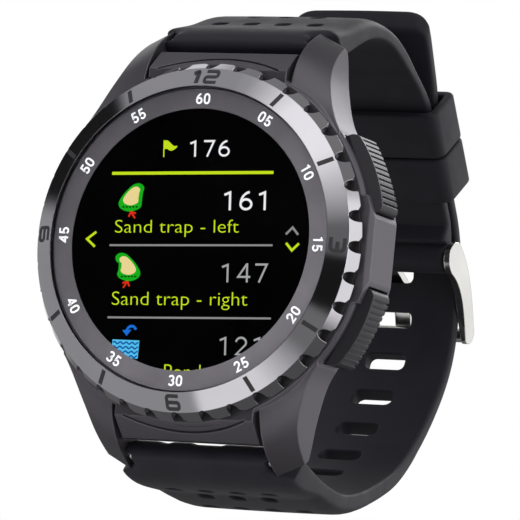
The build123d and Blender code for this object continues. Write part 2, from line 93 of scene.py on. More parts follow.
# Strap: the loop's middle, a probe line clear of the slots, and the strap's edges
LOOP = Vector((0, 27, 0)) * MM
PROBE_X = 7 * MM
THINNEST = 0.25 * MM                    # less than this is a graze of the ray, not the strap
STRAP_EDGE = 0.5 * MM                   # radius next to the wrist
STRAP_SHOULDER = (2.4 * MM, 1.2 * MM)   # wide and deep, on the outer face
STRAP_CROWN = 0.12 * MM

# The strap's head, between the lugs
HEAD_SHOULDER = 0.4 * MM
HEAD_SIDE = 0.18 * MM                   # how much wider than the CAD head
HEAD_STAND = 0.58                       # how far it stands towards the case, in mm
HEAD_RELIEF_DEPTH = 0.34                # less in the reliefs
HEAD_RELIEFS = ((-5.65, 0.75), (0.8, 2.2))   # middle and half width of each, in mm
HEAD_EASE = 0.5

# The strap's holes and its end
SLOT_PITCH = 6.6 * MM
SLOT_COUNT = 7
SLOT_SIZE = (6.2 * MM, 2.4 * MM)
SLOT_EASE = 0.25 * MM
TANG_SLOT = Vector((0, 52.75, 4.95)) * MM
TAIL_CORNER = 1.9 * MM
TAIL_EDGE = 0.6 * MM
TAIL_STEPS = 12
TAIL_LEAD = radians(5.5)                # turn about the loop's middle that the square end takes up
VENT_SIZE = (2.4 * MM, 2.5 * MM)
VENT_DEPTH = 0.9 * MM
VENT_PITCH = 4.8 * MM
VENT_ROWS = ((3.9, 4), (9.7, 3), (15.6, 4))  # distance behind the case back in mm, and count
VENT_Z = 20 * MM                        # the vents are further than this from the dial's middle line
WINDOW_Y = (44.5 * MM, 53.5 * MM)       # opening for the tang in the buckle-side strap
WINDOW_Z = (2 * MM, 9.6 * MM)
WINDOW_GAP = 0.35 * MM

# Keepers
KEEPER_CORNER = (1.5 * MM, 0.5 * MM)    # outside and inside
KEEPER_EASE = 0.4 * MM

# Dial printing, in millimetres on the dial
NUMERAL_R = 18.99
NUMERAL_SIZE = (2.0, 1.42)
NUMERAL_WEIGHT = 0.18
PRINT_T = 0.02
PRINT_GAP = 0.004
BAR_R = (20.95, 22.95)
BAR_WIDTH = 0.62
ENGRAVE_R = 21.95
ENGRAVE_SIZE = (1.75, 1.62)
ENGRAVE_SINK, ENGRAVE_T = 0.03, 0.055

# Screen: the slope of its rows, the lean of its columns, and its layers in millimetres
SCREEN_RIGHT = 0.0315
SCREEN_LEAN = -0.08
SCREEN_GAP = 0.002
SCREEN_LAYER = 0.004
WORD_WEIGHT = -0.012


# ---------------------------------------------------------------- colours and material nodes

def linear(code):
    """A hex colour as linear red, green and blue."""
    parts = [int(code[i:i + 2], 16) / 255 for i in (1, 3, 5)]
    return [c / 12.92 if c <= 0.04045 else ((c + 0.055) / 1.055) ** 2.4 for c in parts]


class Graph:
    """A node tree with short ways to add and join nodes."""

    def __init__(self, tree):
        self.tree = tree

    def add(self, kind, settings=None, **inputs):
        """A node with its settings and inputs.

        An input is given by its name, or as i0, i1 and so on, and is a value or another node's output.
        """
        node = self.tree.nodes.new("ShaderNode" + kind)
        for key, value in (settings or {}).items():
            setattr(node, key, value)
        for key, value in inputs.items():
            socket = node.inputs[int(key[1:]) if key[1:].isdigit() else key.replace("_", " ")]
            if isinstance(value, bpy.types.NodeSocket):
                self.tree.links.new(value, socket)
            elif value is not None:
                socket.default_value = value
        return node

    def math(self, operation, a, b=None):
        """A sum, product or other operation on one or two numbers."""
        return self.add("Math", {"operation": operation}, i0=a, i1=b).outputs[0]

    def dot(self, a, b):
        """The dot product of two vectors."""
        return self.add("VectorMath", {"operation": "DOT_PRODUCT"}, i0=a, i1=b).outputs["Value"]

    def mix(self, share, a, b, blend="MIX"):
        """A colour mix; a and b are colours with alpha, or outputs."""
        return self.add("Mix", {"data_type": "RGBA", "blend_type": blend}, i0=share, i6=a, i7=b).outputs[2]

    def remap(self, value, low, high, to_low, to_high):
        """A number moved from one range into another and kept inside it."""
        return self.add("MapRange", None, i0=value, i1=low, i2=high, i3=to_low, i4=to_high).outputs[0]

    def noise(self, vector, scale, detail):
        """Cloudy noise from 0 to 1."""
        node = self.add("TexNoise", None, Vector=vector, Scale=scale, Detail=detail, Roughness=0.55)
        return node.outputs[0]

    def join(self, output, shader, name):
        """Links an output into a named input of a shader node."""
        self.tree.links.new(output, shader.inputs[name])


def new_material(name):
    """An empty node material and its graph."""
    material = bpy.data.materials.new(name)
    material.use_nodes = True
    return material, Graph(material.node_tree)


def shade(colour, factor):
    """A colour with alpha, made lighter or darker."""
    return [min(1.0, c * factor) for c in colour[:3]] + [1.0]


def surface(name, colour, rough, metal=0.0, grain=(2500, 0.012), mottle=(120, 0.12), edge=(0.2, 1.5),
            lines=None, sheen=0.0, specular=0.5, painted_shade=None, lit=0.0):
    """A finish in object space: mottled colour, painted edge highlights, a fine grain and, if asked, drawn
    lines.

    mottle gives (scale per metre, share lighter and darker); edge gives (radius in mm, how much lighter) for
    the painted highlight along edges.
    grain and lines give (scale per metre, height in mm), and lines adds an axis: x, y, z or r for rings
    round the dial's axis.  A painted shade, if given, is (direction per metre, start, first shade, last
    shade):
    the colour runs between the shades from start to 1 along the direction, and on both sides where start is
    above 0.
    """
    material, g = new_material(name)
    bsdf = material.node_tree.nodes["Principled BSDF"]
    place = g.add("TexCoord").outputs["Object"]
    cloud = g.noise(place, mottle[0], 4)
    body = g.mix(g.remap(cloud, 0.3, 0.7, 0, 1), shade(colour, 1 - mottle[1]), shade(colour, 1 + mottle[1]))
    soft = g.add("Bevel", {"samples": 6}, Radius=edge[0] * MM).outputs[0]
    true = g.add("NewGeometry").outputs["True Normal"]
    # Painted highlight: edges turn lighter where the bevelled normal leaves the true one, in noisy patches
    edge_highlight = g.remap(g.dot(soft, true), 0.995, 0.86, 0, 1)
    patchy = g.remap(g.noise(place, mottle[0] * 6, 3), 0.35, 0.6, 0.35, 1)
    body = g.mix(g.math("MULTIPLY", edge_highlight, patchy), body, shade(colour, edge[1]))
    # Painted shade: the colour made darker and lighter along a direction, as the light falls
    if painted_shade:
        direction, start, first, last = painted_shade
        run = g.dot(place, direction)
        if start > 0:
            run = g.math("ABSOLUTE", run)
        body = g.mix(1.0, body, g.remap(run, start, 1, first, last), "MULTIPLY")
    height = g.math("MULTIPLY", g.noise(place, grain[0], 2), grain[1])
    if lines:
        height = g.math("ADD", height, drawn_lines(g, place, *lines))
    g.join(body, bsdf, "Base Color")
    g.join(g.remap(cloud, 0.25, 0.75, rough * 0.85, rough * 1.15), bsdf, "Roughness")
    bump = g.add("Bump", None, Strength=1.0, Distance=MM, Height=height, Normal=soft).outputs[0]
    g.join(bump, bsdf, "Normal")
    bsdf.inputs["Metallic"].default_value = metal
    bsdf.inputs["Specular IOR Level"].default_value = specular
    bsdf.inputs["Sheen Weight"].default_value = sheen
    # Painted glow: the colour shines by itself at the lit strength, though the part is no lamp
    bsdf.inputs["Emission Color"].default_value = shade(colour, 1)
    bsdf.inputs["Emission Strength"].default_value = lit
    return material


def drawn_lines(g, place, scale, height, axis):
    """The height of brushed or turned lines that follow one another along an axis, or r for rings."""
    split = g.add("SeparateXYZ", None, Vector=place).outputs
    if axis == "r":
        flat = g.add("CombineXYZ", None, X=split[0], Z=split[2]).outputs[0]
        along = g.add("VectorMath", {"operation": "LENGTH"}, i0=flat).outputs["Value"]
    else:
        along = split["xyz".index(axis)]
    step = g.math("MULTIPLY", along, scale)
    wave = g.add("TexNoise", {"noise_dimensions": "1D"}, W=step, Scale=1.0, Detail=2.0).outputs[0]
    return g.math("MULTIPLY", wave, height)


def clear_glass():
    """Mostly see-through, with a weak mirror towards grazing angles and faint smudges.

    Only the camera sees the mirror, and only on front faces, so nothing is mirrored inside the glass.
    """
    material, g = new_material("glass")
    place = g.add("TexCoord").outputs["Object"]
    smudge = g.remap(g.noise(place, 90, 4), 0.45, 0.75, 0.02, 0.12)
    mirror = g.add("BsdfGlossy", None, Color=(1, 1, 1, 1), Roughness=smudge).outputs[0]
    through = g.add("BsdfTransparent", None, Color=(0.985, 0.99, 1.0, 1)).outputs[0]
    fresnel = g.math("MULTIPLY", g.add("Fresnel", None, IOR=1.35).outputs[0], 0.7)
    front = g.math("SUBTRACT", 1.0, g.add("NewGeometry").outputs["Backfacing"])
    seen = g.math("MULTIPLY", front, g.add("LightPath").outputs["Is Camera Ray"])
    share = g.math("MULTIPLY", fresnel, seen)
    both = g.add("MixShader", None, i0=share, i1=through, i2=mirror).outputs[0]
    g.join(both, material.node_tree.nodes["Material Output"], "Surface")
    return material


def pixels(name, code):
    """Lit screen pixels: a colour with the faint grid of the panel."""
    material, g = new_material(name)
    place = g.add("TexCoord").outputs["Object"]
    white, dim = (1, 1, 1, 1), (0.9, 0.9, 0.9, 1)
    grid = g.add("TexChecker", None, Vector=place, Color1=white, Color2=dim, Scale=11000).outputs[0]
    tint = g.mix(1.0, linear(code) + [1], grid, "MULTIPLY")
    light = g.add("Emission", None, Color=tint, Strength=1.0).outputs[0]
    g.join(light, material.node_tree.nodes["Material Output"], "Surface")
    return material


def make_finishes():
    """Every finish, by the record's material slot."""
    # Each edge value sets the painted highlight along edges: its radius in mm and how much lighter it is
    rows = (
        # The case's painted shade: 1.08 times its colour 19 mm from the middle, down to half at the lug ends,
        # 31 mm
        ("case", "#5b585e", 0.4, dict(metal=0.65, grain=(4200, 0.006), mottle=(70, 0.07), edge=(0.3, 2.0),
                                      painted_shade=((0, 0, 32), 0.6, 1.08, 0.5))),
        ("bezel", "#bdbbc0", 0.085, dict(metal=1.0, grain=(900, 0.0004), mottle=(90, 0.04), edge=(0.12, 1.2),
                                         lines=(9000, 0.0012, "r"))),
        ("rubber_black", "#1b1a1d", 0.65, dict(grain=(3000, 0.01))),
        # The ring's painted shade: lighter towards the bottom right and darker towards the top left, half to
        # 1.4 times its colour
        ("ring_print", "#6b676b", 0.5, dict(metal=0.1, grain=(6000, 0.003), edge=(0.05, 1.2), specular=0.3,
                                            lines=(5000, 0.002, "r"), painted_shade=((22, 0, -30), -1, 0.5, 1.4))),
        ("display", "#010101", 0.3, dict(grain=(9000, 0.0006), mottle=(60, 0.1), specular=0.1)),
        ("plastic_black", "#26262a", 0.5, dict(grain=(2600, 0.01))),
        ("board", "#14553a", 0.38, dict(grain=(1800, 0.008), lines=(1400, 0.012, "x"))),
        ("shield", "#b9b9b6", 0.3, dict(metal=1.0, lines=(6000, 0.003, "x"))),
        ("ceramic", "#d9cfb8", 0.45, dict(grain=(3400, 0.006), mottle=(300, 0.08))),
        ("pouch", "#a9adb0", 0.34, dict(metal=0.9, grain=(700, 0.02), lines=(2500, 0.004, "z"))),
        ("steel", "#e6e5e1", 0.17, dict(metal=1.0, grain=(1500, 0.0006), mottle=(140, 0.05), edge=(0.2, 1.12),
                                        lines=(7000, 0.0012, "x"))),
        ("spring_steel", "#bcbcbc", 0.26, dict(metal=1.0, lines=(9000, 0.003, "x"))),
        ("gold", "#d8b25c", 0.22, dict(metal=1.0, grain=(2600, 0.002), lines=(9000, 0.002, "x"))),
        ("button", "#28262b", 0.4, dict(metal=0.5, grain=(4200, 0.005), mottle=(120, 0.08),
                                        edge=(0.14, 4.5))),
        ("silicone", "#1b1a21", 0.55, dict(grain=(5200, 0.006), mottle=(260, 0.14), edge=(0.35, 2.2),
                                           sheen=0.03, specular=0.25)),
        ("flex", "#b06a1e", 0.4, dict(grain=(900, 0.004), lines=(3000, 0.01, "x"))),
        ("cover_metal", "#3f3d42", 0.36, dict(metal=0.85, grain=(4000, 0.004), edge=(0.2, 1.8),
                                              lines=(2600, 0.004, "r"))),
    )
    finishes = {name: surface(name, linear(code), rough, **rest) for name, code, rough, rest in rows}
    finishes["glass"] = clear_glass()
    return finishes


# ---------------------------------------------------------------- mesh helpers

def closed_mesh(name, verts, faces):
    """A mesh with all its faces turned outwards."""
    mesh = bpy.data.meshes.new(name)
    mesh.from_pydata([tuple(v) for v in verts], [], faces)
    bm = bmesh.new()
    bm.from_mesh(mesh)
    bmesh.ops.recalc_face_normals(bm, faces=bm.faces)
    bm.to_mesh(mesh)
    bm.free()
    return mesh


def show(name, mesh, material, body):
    """Links a finished mesh, smooth but for its sharp edges, as a piece that rides on a body."""
    mesh.materials.clear()
    mesh.materials.append(material)
    mesh.shade_smooth()
    mesh.set_sharp_from_angle(angle=CREASE)
    piece = bpy.data.objects.new(name, mesh)
    bpy.context.scene.collection.objects.link(piece)
    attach(piece, body)
    return piece


def tree_of(node):
    """A ray-casting tree of a CAD node."""
    mesh = NODES[node].data
    return BVHTree.FromPolygons([v.co for v in mesh.vertices], [p.vertices for p in mesh.polygons])


def cut(piece, cutters):
    """Takes closed cutter meshes, each (verts, faces), out of a piece."""
    verts, faces = [], []
    for some_verts, some_faces in cutters:
        faces += [[i + len(verts) for i in face] for face in some_faces]
        verts += some_verts
    mesh = closed_mesh("cutter", verts, faces)
    tool = bpy.data.objects.new("cutter", mesh)
    bpy.context.scene.collection.objects.link(tool)
    boolean = piece.modifiers.new("cut", "BOOLEAN")
    boolean.operation = "DIFFERENCE"
    boolean.solver = "EXACT"
    boolean.object = tool
    graph = bpy.context.evaluated_depsgraph_get()
    done = bpy.data.meshes.new_from_object(piece.evaluated_get(graph))
    piece.modifiers.remove(boolean)
    old = piece.data
    piece.data = done
    piece.data.set_sharp_from_angle(angle=CREASE)
    bpy.data.objects.remove(tool)
    bpy.data.meshes.remove(mesh)
    bpy.data.meshes.remove(old)


def rounded_outline(half_x, half_y, radius, steps=4):
    """Points of a rounded rectangle about the origin, anticlockwise."""
    points = []
    x, y = half_x - radius, half_y - radius
    for corner, (mid_x, mid_y) in enumerate(((x, y), (-x, y), (-x, -y), (x, -y))):
        for i in range(steps + 1):
            a = (corner + i / steps) * pi / 2
            points.append((mid_x + radius * cos(a), mid_y + radius * sin(a)))
    return points


def prism(origin, up, size, levels):
    """A closed rounded prism: size is along x and across it, levels are (height, growth) pairs along up."""
    across = up.cross(RIGHT)
    rings = []
    for height, growth in levels:
        outline = rounded_outline(size[0] / 2 + growth, size[1] / 2 + growth, 0.38 * min(size) + growth)
        rings.append([origin + RIGHT * u + across * v + up * height for u, v in outline])
    return loft(rings)


def quarter(steps):
    """Even angles from 0 to a quarter turn."""
    return [i / steps * pi / 2 for i in range(steps + 1)]


def ring_faces(a, b, count):
    """Quads between two closed rings of vertices that start at a and b."""
    return [[a + i, a + (i + 1) % count, b + (i + 1) % count, b + i] for i in range(count)]


def loft(rings):
    """Verts and faces of a closed solid through rings of equal count."""
    count = len(rings[0])
    verts = [v for ring in rings for v in ring]
    faces = [list(range(count)), [i + count * (len(rings) - 1) for i in range(count)][::-1]]
    for level in range(len(rings) - 1):
        faces += ring_faces(level * count, (level + 1) * count, count)
    return verts, faces


# ---------------------------------------------------------------- strap

class Strap:
    """The side view of a strap, read from its CAD solid by rays from the middle of the loop."""

    def __init__(self, node):
        self.tree = tree_of(node)
        found = [a for a in range(-179, 180) if self.scan(radians(a))]
        self.start = self.tangent(radians(found[0]), radians(found[0] - 1))
        self.end = self.tangent(radians(found[-1]), radians(found[-1] + 1))

    def scan(self, angle):
        """Innermost and outermost points on a ray, or None."""
        direction = Vector((0, cos(angle), sin(angle)))
        origin = LOOP + RIGHT * PROBE_X
        hits = []
        while True:
            hit = self.tree.ray_cast(origin, direction)[0]
            if hit is None:
                break
            hits.append(hit)
            origin = hit + direction * MM / 1000
        if len(hits) < 2 or (hits[-1] - hits[0]).length < THINNEST:
            return None
        return hits[0], hits[-1]

    def tangent(self, inside, outside):
        """The last angle that still meets the strap, between two angles."""
        for _ in range(16):
            middle = (inside + outside) / 2
            if self.scan(middle):
                inside = middle
            else:
                outside = middle
        return inside

    def half_width(self, point):
        """Distance from the middle plane to the strap's edge at a point inside it."""
        hit = self.tree.ray_cast(point, RIGHT)[0]
        return hit.x if hit else 10 * MM

    def stations(self, short_by=0.0):
        """(inner, outer, half width) along the strap, closer together towards its ends."""
        first, last = self.start, self.end - short_by
        lead = radians(3)
        count = int((last - first - 2 * lead) / radians(1.1))
        closing = [lead * (1 - cos(a)) for a in quarter(9)[:-1]]
        angles = [first + turn for turn in closing]
        angles += [first + lead + (last - first - 2 * lead) * i / count for i in range(count + 1)]
        angles += [last - turn for turn in reversed(closing)]
        found = []
        for pair in filter(None, map(self.scan, angles)):
            inner, outer = pair
            half = self.half_width((inner + outer) / 2)
            found.append((Vector((0, inner.y, inner.z)), Vector((0, outer.y, outer.z)), half))
        return found


def head_fit(u):
    """How far the strap's head stands towards the case at u from its middle, in metres."""
    relief = 0
    for centre, reach in HEAD_RELIEFS:
        relief = max(relief, min(1, (reach + 0.6 * HEAD_EASE - abs(u / MM - centre)) / HEAD_EASE))
    return (HEAD_STAND - HEAD_RELIEF_DEPTH * relief) * MM


def section(inner, outer, half):
    """One cross-section between an inner and an outer point: eased inside, a broad shoulder outside."""
    head = min(1, max(0, (0.5 * MM - inner.y) / MM))
    across = outer - inner
    length = across.length
    up = across / length
    r = min(STRAP_EDGE, 0.45 * length)
    wide, deep = (size + (HEAD_SHOULDER - size) * head for size in STRAP_SHOULDER)
    deep = min(deep, 0.5 * length)
    half += HEAD_SIDE * head
    crown = min(STRAP_CROWN, 0.1 * length)
    shoulder = [(half - wide + wide * cos(a), length - deep + deep * sin(a)) for a in quarter(6)]
    shoulder += [((half - wide) * (1 - i / 4), length) for i in range(1, 4)]
    edge = [(half - r + r * cos(a), r - r * sin(a)) for a in quarter(4)]
    edge += [((half - r) * (1 - i / 16), 0) for i in range(1, 16)]
    outside = shoulder + [(0, length)] + [(-u, n) for u, n in reversed(shoulder)]
    inside = [(-u, n) for u, n in edge] + [(0, 0)] + list(reversed(edge))
    ring = []
    for u, n in outside + inside:
        lift = crown * (1 - (u / half) ** 2) if n > length / 2 else 0
        if n == 0:
            lift = -head * head_fit(u)
        ring.append(inner + RIGHT * u + up * (n + lift))
    return ring


def tail_stations(stations, top):
    """The square end of the strap: rounded corners in plan and rounded edges, up to the height top."""
    inner, outer, half = stations[-1]
    before = stations[-6]
    along = ((inner + outer) - (before[0] + before[1])).normalized()
    middle, depth = (inner + outer) / 2, (outer - inner) / 2
    room = (top - max(inner.z, outer.z)) / along.z
    added = []
    for turn in quarter(TAIL_STEPS)[1:]:
        run = sin(turn) * TAIL_CORNER
        narrow = TAIL_CORNER - sqrt(max(0, TAIL_CORNER ** 2 - run ** 2))
        past = max(0, run - (TAIL_CORNER - TAIL_EDGE))
        thin = TAIL_EDGE - sqrt(max(0, TAIL_EDGE ** 2 - past ** 2))
        reach = depth * max(0.12, 1 - thin / depth.length)
        centre = middle + along * (room - TAIL_CORNER + run)
        added.append((centre - reach, centre + reach, half - min(narrow, TAIL_CORNER * 0.98)))
    return added


def place_on(stations, index):
    """Outer surface point, outward normal and direction along the strap at a station."""
    along = (stations[index + 1][1] - stations[index - 1][1]).normalized()
    normal = RIGHT.cross(along)
    if normal.dot(stations[index][1] - LOOP) < 0:
        normal = -normal
    return stations[index][1], normal, along


def vents(stations):
    """Rows of shallow pits on the outer face beside the lug."""
    levels = [(0, -0.1 * MM), (VENT_DEPTH, 0), (VENT_DEPTH + 0.5 * MM, 0.3 * MM)]
    by_lug = [i for i in range(4, len(stations) - 4) if abs(stations[i][1].z) > VENT_Z]
    cutters = []
    for row_y, count in VENT_ROWS:
        index = min(by_lug, key=lambda i: abs(stations[i][1].y - row_y * MM))
        point, normal, _ = place_on(stations, index)
        floor = point - normal * (VENT_DEPTH - STRAP_CROWN)
        for i in range(count):
            column = RIGHT * (i - (count - 1) / 2) * VENT_PITCH
            cutters.append(prism(floor + column, normal, VENT_SIZE, levels))
    return cutters


def slots(stations):
    """Adjustment slots at equal steps from the tang's slot towards the lug, with eased rims."""
    middles = [(a + b) / 2 for a, b, _ in stations]
    tang = min(range(len(middles)), key=lambda i: (middles[i] - TANG_SLOT).length)
    run = [0.0]
    for a, b in zip(middles, middles[1:]):
        run.append(run[-1] + (b - a).length)
    cutters = []
    for step in range(SLOT_COUNT + 1):
        target = run[tang] - step * SLOT_PITCH
        index = min(range(2, len(run) - 2), key=lambda i: abs(run[i] - target))
        inner, outer, _ = stations[index]
        _, normal, along = place_on(stations, index)
        middle = middles[index] + along * (target - run[index])
        face = (outer - inner).dot(normal) / 2
        levels = [(-face - 3 * SLOT_EASE, 3 * SLOT_EASE), (-face + SLOT_EASE, 0)]
        levels += [(face - SLOT_EASE, 0), (face + 3 * SLOT_EASE, 4 * SLOT_EASE)]
        cutters.append(prism(middle, normal, SLOT_SIZE, levels))
    return cutters


def box_cutter(xs, ys, zs):
    """A closed box between two places on each axis."""
    verts = [Vector((x, y, z)) for x in xs for y in ys for z in zs]
    faces = [[0, 1, 3, 2], [4, 6, 7, 5], [0, 4, 5, 1], [2, 3, 7, 6], [0, 2, 6, 4], [1, 5, 7, 3]]
    return verts, faces


def strap_skin(node, stations, cutters, material):
    """The strap lofted through its stations and cut, in place of its CAD node."""
    name = node + "_skin"
    mesh = closed_mesh(name, *loft([section(*station) for station in stations]))
    piece = show(name, mesh, material, "watch")
    cut(piece, cutters)
    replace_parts(piece, node)


def lower_strap(material):
    """Slotted strap with its square tail."""
    stations = Strap("lower_strap").stations(short_by=TAIL_LEAD)
    stations += tail_stations(stations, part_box("lower_strap")[1].z)
    strap_skin("lower_strap", stations, vents(stations) + slots(stations), material)


def upper_strap(material):
    """Buckle-side strap, open where the tang swings round its bar."""
    stations = Strap("upper_strap").stations()
    low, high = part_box("buckle_tang")
    window = box_cutter((low.x - WINDOW_GAP, high.x + WINDOW_GAP), WINDOW_Y, WINDOW_Z)
    strap_skin("upper_strap", stations, vents(stations[::-1]) + [window], material)


# ---------------------------------------------------------------- springs

def soft_coil(name, node, joint, halved, material):
    """A copy of a spring, or of its half next to the joint's part, riding on the joint's parent body."""
    axis = Vector(JOINTS[joint]["axis"]).normalized()
    bm = bmesh.new()
    bm.from_mesh(NODES[node].data)
    reach = [axis.dot(v.co) for v in bm.verts]
    near, far = min(reach), max(reach)
    if halved:
        far = (near + far) / 2
        plane = {"plane_co": axis * far, "plane_no": axis, "clear_outer": True}
        rim = bmesh.ops.bisect_plane(bm, geom=bm.verts[:] + bm.edges[:] + bm.faces[:], **plane)["geom_cut"]
        bmesh.ops.holes_fill(bm, edges=[e for e in rim if isinstance(e, bmesh.types.BMEdge)])
    mesh = bpy.data.meshes.new(name)
    bm.to_mesh(mesh)
    bm.free()
    piece = show(name, mesh, material, JOINTS[joint]["parent"])
    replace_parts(piece, node)
    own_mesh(piece)


def springs(material):
    """Both button springs, and the three spring-bar springs as a left and a right half."""
    for side in ("upper", "lower"):
        node = side + "_button_spring"
        soft_coil(node + "_coil", node, side + "_button_press", False, material)
    for bar in ("upper_bar", "lower_bar", "buckle_bar"):
        node = bar + "_spring"
        for side in ("left", "right"):
            soft_coil(f"{node}_{side}_half", node, f"{bar}_{side}_tip_slide", True, material)


# ---------------------------------------------------------------- keepers

# Along the straight stretch of both strap layers, and out from the wrist
STACK = -Vector(JOINTS["keeper_slide"]["axis"]).normalized()
STACK_OUT = RIGHT.cross(STACK)
if STACK_OUT.dot(Vector((0, 1, 1))) < 0:
    STACK_OUT = -STACK_OUT


def keeper(node, body, material):
    """A moulded loop round both strap layers, with rounded corners and eased rims."""
    points = [v.co for v in NODES[node].data.vertices]
    widths = sorted({round(abs(p.x), 6) for p in points})
    outs = sorted({round(p.dot(STACK_OUT), 5) for p in points})
    runs = [p.dot(STACK) for p in points]
    first, last = min(runs), max(runs)
    middle, half = (outs[0] + outs[-1]) / 2, (outs[-1] - outs[0]) / 2
    wall = widths[-1] - widths[0]
    outer = rounded_outline(widths[-1], half, KEEPER_CORNER[0], 6)
    inner = rounded_outline(widths[0], half - wall, KEEPER_CORNER[1], 6)
    rings = []
    for run, share in eased_wall(first, last, KEEPER_EASE, KEEPER_EASE / wall):
        ring = []
        for (outer_u, outer_n), (inner_u, inner_n) in zip(outer, inner):
            u, n = outer_u + (inner_u - outer_u) * share, outer_n + (inner_n - outer_n) * share
            ring.append(RIGHT * u + STACK_OUT * (n + middle) + STACK * run)
        rings.append(ring)
    count = len(outer)
    faces = []
    for level in range(len(rings)):
        faces += ring_faces(level * count, (level + 1) % len(rings) * count, count)
    name = node + "_loop"
    mesh = closed_mesh(name, [v for ring in rings for v in ring], faces)
    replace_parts(show(name, mesh, material, body), node)


def eased_wall(first, last, ease, share):
    """Round the section of a loop's wall: (place along, share of the way to the inner face)."""
    turns = quarter(4)
    path = [(first + ease * (1 - sin(a)), share * (1 - cos(a))) for a in turns]
    path += [(first + ease * (1 - cos(a)), 1 - share * (1 - sin(a))) for a in turns]
    path += [(last - ease * (1 - sin(a)), 1 - share * (1 - cos(a))) for a in turns]
    path += [(last - ease * (1 - cos(a)), share * (1 - sin(a))) for a in turns]
    return path


# ---------------------------------------------------------------- dial printing

def round_dial(angle, radius):
    """The place at an angle in degrees clockwise from the top of the dial."""
    return radius * sin(radians(angle)), radius * cos(radians(angle))


def arc(x, y, rx, ry, start, end, steps=10):
    """Points on an ellipse between two angles in degrees."""
    span = [radians(start + (end - start) * i / steps) for i in range(steps + 1)]
    return [(x + rx * cos(a), y + ry * sin(a)) for a in span]


def turned(points, angle, centre=(0, 0)):
    """Points turned anticlockwise about the origin and then moved to a centre."""
    c, s = cos(radians(angle)), sin(radians(angle))
    return [(x * c - y * s + centre[0], x * s + y * c + centre[1]) for x, y in points]


def skewed(points, centre):
    """Points laid along the screen's own directions and then moved to a centre."""
    return [(x + SCREEN_LEAN * y + centre[0], SCREEN_RIGHT * x + y + centre[1]) for x, y in points]


def smooth_loop(points, steps=5):
    """A closed smooth curve through points."""
    out = []
    n = len(points)
    for i in range(n):
        p0, p1, p2, p3 = (Vector(points[(i + k) % n]) for k in (-1, 0, 1, 2))
        for k in range(steps):
            t = k / steps
            bend = (2 * p0 - 5 * p1 + 4 * p2 - p3) * t ** 2 + (3 * p1 - p0 - 3 * p2 + p3) * t ** 3
            out.append(tuple(0.5 * (2 * p1 + (p2 - p0) * t + bend)))
    return out


def eased(points, radius, steps=4):
    """A line through points with each corner turned into a curve."""
    out = [points[0]]
    for a, b, c in zip(points, points[1:], points[2:]):
        a, b, c = Vector(a), Vector(b), Vector(c)
        start, end = b + (a - b).normalized() * radius, b + (c - b).normalized() * radius
        for i in range(steps + 1):
            t = i / steps
            out.append(tuple(start * (1 - t) ** 2 + b * 2 * t * (1 - t) + end * t ** 2))
    return out + [points[-1]]


class Marks:
    """Thin marks gathered in one mesh; place(x, y, top) turns dial millimetres into a point."""

    def __init__(self, place):
        self.place = place
        self.bm = bmesh.new()

    def line(self, points, width):
        """A strip of even width along points, closed if they end where they start."""
        pts = [Vector(p) for p in points]
        closed = (pts[0] - pts[-1]).length < 1e-4
        if closed:
            pts.pop()
        rows = []
        for i, p in enumerate(pts):
            before = p - pts[i - 1] if i or closed else pts[1] - p
            after = pts[(i + 1) % len(pts)] - p if i < len(pts) - 1 or closed else before
            before, after = before.normalized(), after.normalized()
            along = (before + after).normalized()
            side = Vector((-along.y, along.x)) * (width / 2 / max(0.5, along.dot(before)))
            corners = [(p + side, 0), (p - side, 0), (p - side, 1), (p + side, 1)]
            rows.append([self.bm.verts.new(self.place(q.x, q.y, top)) for q, top in corners])
        pairs = list(zip(rows, rows[1:]))
        if closed:
            pairs.append((rows[-1], rows[0]))
        else:
            self.bm.faces.new(rows[0])
            self.bm.faces.new(rows[-1][::-1])
        for a, b in pairs:
            for k in range(4):
                self.bm.faces.new((a[k], a[(k + 1) % 4], b[(k + 1) % 4], b[k]))

    def fill(self, outline):
        """A filled outline."""
        back = [self.bm.verts.new(self.place(x, y, 0)) for x, y in outline]
        front = [self.bm.verts.new(self.place(x, y, 1)) for x, y in outline]
        self.bm.faces.new(back)
        self.bm.faces.new(front[::-1])
        for i in range(len(back)):
            k = (i + 1) % len(back)
            self.bm.faces.new((back[i], front[i], front[k], back[k]))

    def digits(self, text, size, weight, lay):
        """Light digits that fill a box of the given size, laid by lay; weight is stroke to height."""
        length = (len(text) - 1) * DIGIT_STEP + DIGIT_WIDTH
        for i, digit in enumerate(text):
            for points in DIGITS[digit]:
                cell = [(x + i * DIGIT_STEP - length / 2, y - 0.5) for x, y in points]
                cell = [(x * size[0] / length, y * size[1]) for x, y in cell]
                self.line(lay(cell), weight * size[1])

    def word(self, text, size, weight, lay):
        """Lettering that fills a box of the given size, laid by lay."""
        curve = bpy.data.curves.new("text", "FONT")
        curve.body = text
        curve.size = 1.0
        curve.offset = weight
        curve.resolution_u = 4
        curve.extrude = 0.5
        holder = bpy.data.objects.new("text", curve)
        bpy.context.scene.collection.objects.link(holder)
        graph = bpy.context.evaluated_depsgraph_get()
        mesh = bpy.data.meshes.new_from_object(holder.evaluated_get(graph))
        bpy.data.objects.remove(holder)
        bpy.data.curves.remove(curve)
        co = np.array([v.co for v in mesh.vertices]).reshape(-1, 3)
        low, high = co.min(0), co.max(0)
        flat = (co[:, :2] - (low[:2] + high[:2]) / 2) / (high[:2] - low[:2]) * np.array(size)
        for vertex, xy, z in zip(mesh.vertices, lay(flat), co[:, 2]):
            vertex.co = self.place(xy[0], xy[1], z > 0)
        self.bm.from_mesh(mesh)
        bpy.data.meshes.remove(mesh)

    def mesh(self):
        """The finished mesh."""
        bmesh.ops.triangulate(self.bm, faces=[f for f in self.bm.faces if len(f.verts) > 4])
        bmesh.ops.recalc_face_normals(self.bm, faces=self.bm.faces)
        mesh = bpy.data.meshes.new("marks")
        self.bm.to_mesh(mesh)
        self.bm.free()
        return mesh


